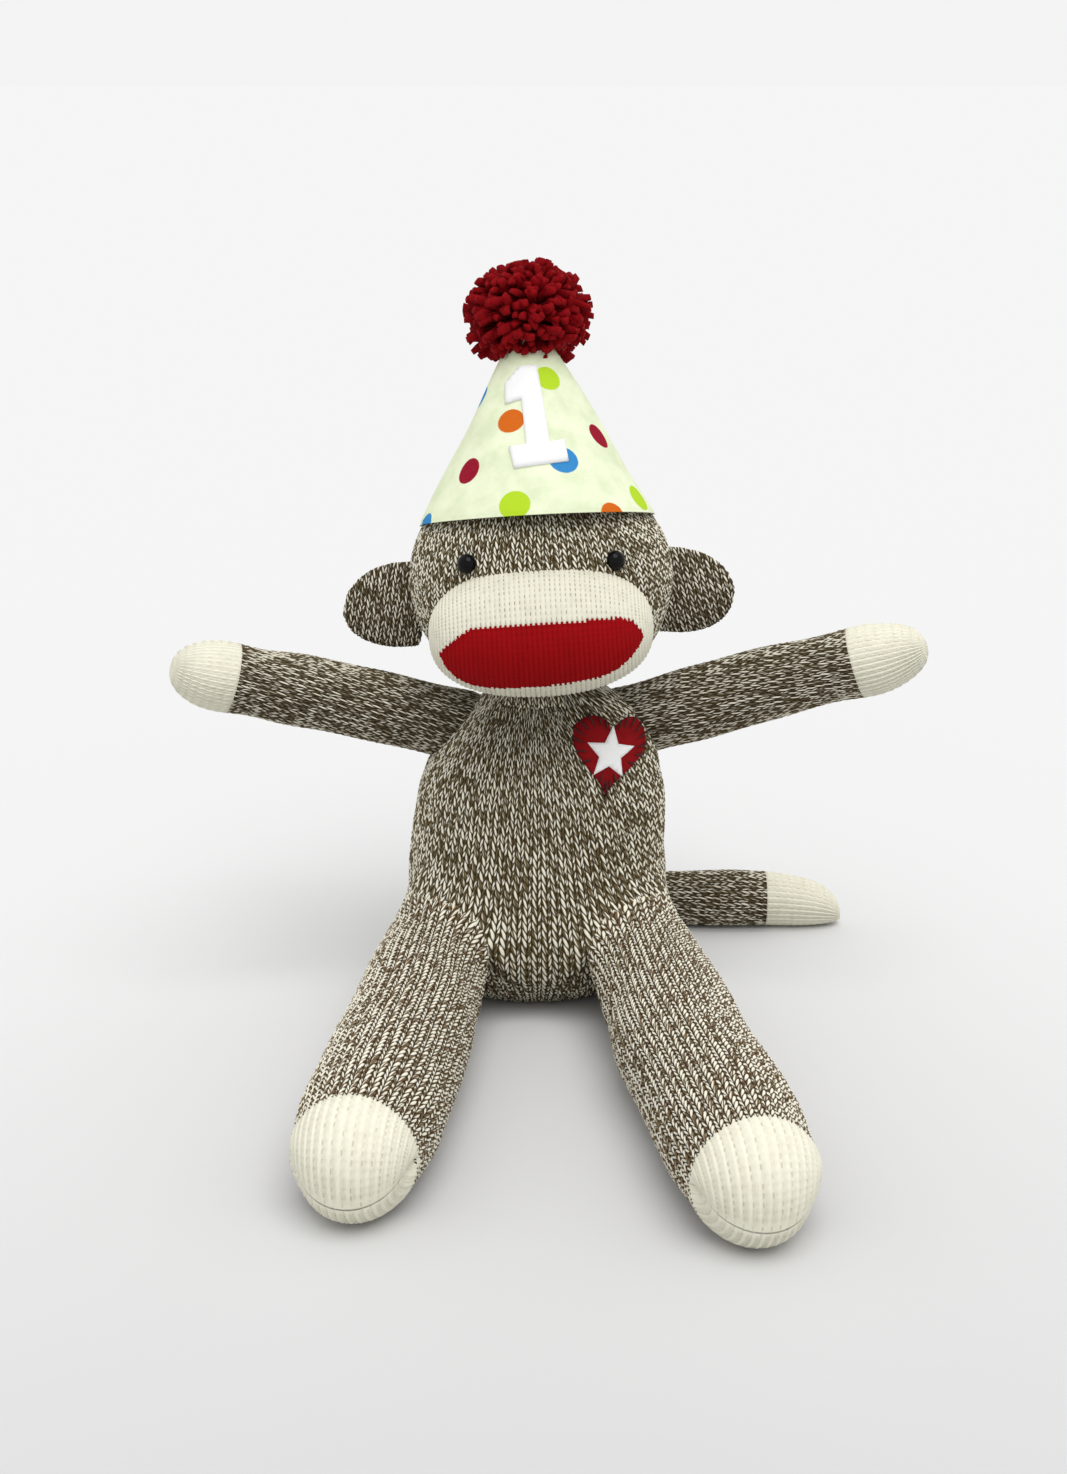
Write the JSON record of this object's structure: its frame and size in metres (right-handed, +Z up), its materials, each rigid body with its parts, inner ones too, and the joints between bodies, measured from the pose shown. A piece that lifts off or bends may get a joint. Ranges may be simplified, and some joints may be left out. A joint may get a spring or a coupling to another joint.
{
  "type": "stuffed monkey",
  "caption": "Seated knitted sock monkey with outstretched arms, long legs, round ears, a red-lipped muzzle, a chest patch and a dotted felt party hat with a yarn pompom.",
  "frame": {"origin": "middle of the flat seat, on the surface the toy sits on", "axes": "+Z up; the monkey faces -Y; +X is the monkey's own left side"},
  "size_m": [0.3605, 0.3689, 0.3569],
  "materials": {
    "marled_knit": "matte",
    "cream_knit": "matte",
    "red_knit": "matte",
    "polyester_filling": "matte",
    "sewing_thread": "matte",
    "dark_red_thread": "matte",
    "red_felt": "matte",
    "white_felt": "matte",
    "printed_felt": "matte",
    "red_yarn": "matte",
    "black_plastic": "gloss",
    "white_plastic": "satin"
  },
  "bodies": {
    "torso": {"torso_cover": "marled_knit", "torso_stuffing": "polyester_filling", "heart_patch": "red_felt", "heart_stitching": "dark_red_thread", "star_patch": "white_felt"},
    "neck": {"neck_wadding": "polyester_filling", "neck_thread": "sewing_thread"},
    "head": {"head_cover": "marled_knit", "head_stuffing": "polyester_filling", "muzzle_cover": "cream_knit", "mouth_panel": "red_knit", "muzzle_stuffing": "polyester_filling", "muzzle_thread": "sewing_thread", "left_eye": "black_plastic", "right_eye": "black_plastic", "left_eye_washer": "white_plastic", "right_eye_washer": "white_plastic", "hat_cone": "printed_felt", "hat_filling": "polyester_filling", "hat_thread": "sewing_thread", "hat_numeral": "white_felt"},
    "pompom": {"pompom_yarn": "red_yarn", "pompom_tie": "red_yarn"},
    "left_ear": {"left_ear_cover": "marled_knit", "left_ear_wadding": "polyester_filling", "left_ear_thread": "sewing_thread"},
    "right_ear": {"right_ear_cover": "marled_knit", "right_ear_wadding": "polyester_filling", "right_ear_thread": "sewing_thread"},
    "left_arm": {"left_sleeve": "marled_knit", "left_paw": "cream_knit", "left_arm_stuffing": "polyester_filling", "left_arm_thread": "sewing_thread"},
    "right_arm": {"right_sleeve": "marled_knit", "right_paw": "cream_knit", "right_arm_stuffing": "polyester_filling", "right_arm_thread": "sewing_thread"},
    "left_leg": {"left_leg_cover": "marled_knit", "left_foot": "cream_knit", "left_leg_stuffing": "polyester_filling", "left_toe_thread": "sewing_thread"},
    "right_leg": {"right_leg_cover": "marled_knit", "right_foot": "cream_knit", "right_leg_stuffing": "polyester_filling", "right_toe_thread": "sewing_thread"},
    "tail": {"tail_cover": "marled_knit", "tail_tip": "cream_knit", "tail_stuffing": "polyester_filling", "tail_thread": "sewing_thread"}
  },
  "joints": [
    {"name": "neck_turn", "type": "hinge", "parent": "torso", "child": "neck", "pos_m": [0, -0.003, 0.16], "axis": [0, 0, 1], "range_deg": [-40, 40]},
    {"name": "head_nod", "type": "hinge", "parent": "neck", "child": "head", "pos_m": [0, -0.003, 0.16], "axis": [1, 0, 0], "range_deg": [-15, 12]},
    {"name": "pompom_tilt", "type": "hinge", "parent": "head", "child": "pompom", "pos_m": [-0.00427, 0.02032, 0.31439], "axis": [0.9986, 0, 0.0523], "range_deg": [-6, 6]},
    {"name": "left_ear_fold", "type": "hinge", "parent": "head", "child": "left_ear", "pos_m": [0.0605, 0.002, 0.198], "axis": [0, 0, 1], "range_deg": [-12, 30]},
    {"name": "right_ear_fold", "type": "hinge", "parent": "head", "child": "right_ear", "pos_m": [-0.0595, 0.002, 0.1905], "axis": [0, 0, -1], "range_deg": [-12, 30]},
    {"name": "left_shoulder", "type": "hinge", "parent": "torso", "child": "left_arm", "pos_m": [0.05, 0, 0.131], "axis": [-0.2185, -0.9758, 0], "range_deg": [-60, 8]},
    {"name": "right_shoulder", "type": "hinge", "parent": "torso", "child": "right_arm", "pos_m": [-0.05, 0, 0.131], "axis": [-0.2352, 0.972, 0], "range_deg": [-60, 8]},
    {"name": "left_hip", "type": "hinge", "parent": "torso", "child": "left_leg", "pos_m": [0.046, -0.042, 0.0262], "axis": [-0.9856, -0.1691, 0], "range_deg": [0, 50]},
    {"name": "right_hip", "type": "hinge", "parent": "torso", "child": "right_leg", "pos_m": [-0.046, -0.042, 0.0262], "axis": [-0.9915, 0.1302, 0], "range_deg": [0, 50]},
    {"name": "tail_sweep", "type": "hinge", "parent": "torso", "child": "tail", "pos_m": [0.01, 0.062, 0.0142], "axis": [0, 0, 1], "range_deg": [0, 120]}
  ]
}
